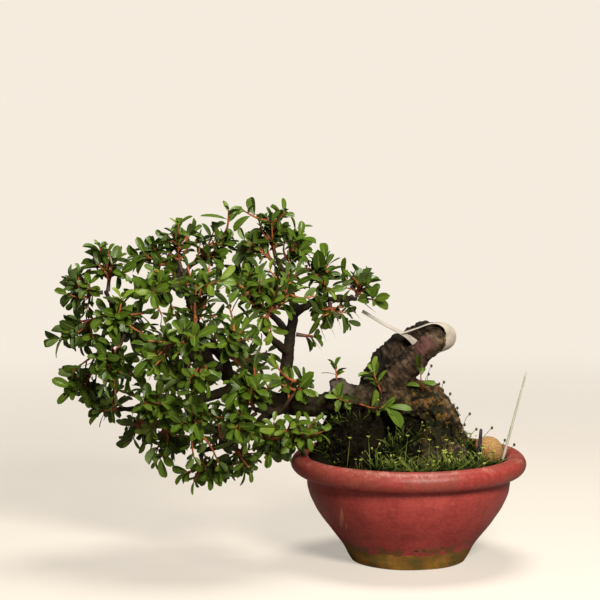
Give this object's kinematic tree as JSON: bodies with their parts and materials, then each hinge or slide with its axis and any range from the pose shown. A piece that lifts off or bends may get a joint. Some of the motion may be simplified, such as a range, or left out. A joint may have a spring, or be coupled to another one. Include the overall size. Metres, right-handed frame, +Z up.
{
  "type": "potted bonsai tree",
  "caption": "Semi-cascade firethorn bonsai: gnarled trunk bent back on itself, leafy crown out to one side, in a round red-brown glazed pot with a rolled rim.",
  "frame": {"origin": "middle of the flat foot that the pot stands on", "axes": "+Z up. The viewer stands at -Y, and the crown hangs out towards -X"},
  "size_m": [0.4199, 0.21, 0.3149],
  "materials": {
    "glaze": "dusky red-brown glaze, satin, bare ochre clay at the foot",
    "mesh_plastic": "moulded drainage mesh",
    "bark": "rough, flaking bark",
    "soil": "moist granular bonsai soil, about 1000 kg/m3",
    "moss": "living moss",
    "foliage": "glossy living leaves on green and red-brown twigs",
    "young_foliage": "young living leaves, satin",
    "fertiliser": "crumbly pressed rapeseed meal",
    "black_wire": "black coated wire",
    "pale_stick": "pale weathered wood",
    "white_plastic": "white plastic strip, satin"
  },
  "bodies": {
    "root": {"pot": "glaze", "drainage_mesh": "mesh_plastic", "trunk": "bark", "fertiliser_ball": "fertiliser", "wire_pin": "black_wire", "marker_stick": "pale_stick", "strap_label": "white_plastic", "soil": "soil", "moss_carpet": "moss", "leafy_shoot_01": "foliage", "leafy_shoot_02": "foliage", "leafy_shoot_03": "foliage", "leafy_shoot_04": "foliage", "leafy_shoot_05": "foliage", "leafy_shoot_06": "foliage", "leafy_shoot_07": "foliage", "leafy_shoot_08": "foliage", "leafy_shoot_09": "foliage", "leafy_shoot_10": "foliage", "leafy_shoot_11": "foliage", "leafy_shoot_12": "foliage", "leafy_shoot_13": "foliage", "leafy_shoot_14": "foliage", "leafy_shoot_15": "foliage", "leafy_shoot_16": "foliage", "leafy_shoot_17": "foliage", "leafy_shoot_18": "foliage", "leafy_shoot_19": "foliage", "leafy_shoot_20": "foliage", "leafy_shoot_21": "foliage", "leafy_shoot_22": "foliage", "leafy_shoot_23": "foliage", "leafy_shoot_24": "foliage", "leafy_shoot_25": "foliage", "leafy_shoot_26": "foliage", "leafy_shoot_27": "foliage", "leafy_shoot_28": "foliage", "leafy_shoot_29": "foliage", "leafy_shoot_30": "foliage", "leafy_shoot_31": "foliage", "leafy_shoot_32": "foliage", "leafy_shoot_33": "foliage", "leafy_shoot_34": "foliage", "leafy_shoot_35": "foliage", "leafy_shoot_36": "foliage", "leafy_shoot_37": "foliage", "leafy_shoot_38": "foliage", "leafy_shoot_39": "foliage", "leafy_shoot_40": "foliage", "leafy_shoot_41": "foliage", "leafy_shoot_42": "foliage", "leafy_shoot_43": "foliage", "leafy_shoot_44": "foliage", "trunk_sprout_1": "young_foliage", "trunk_sprout_2": "young_foliage", "trunk_sprout_3": "young_foliage", "trunk_sprout_4": "young_foliage", "trunk_sprout_5": "young_foliage"}
  },
  "joints": []
}
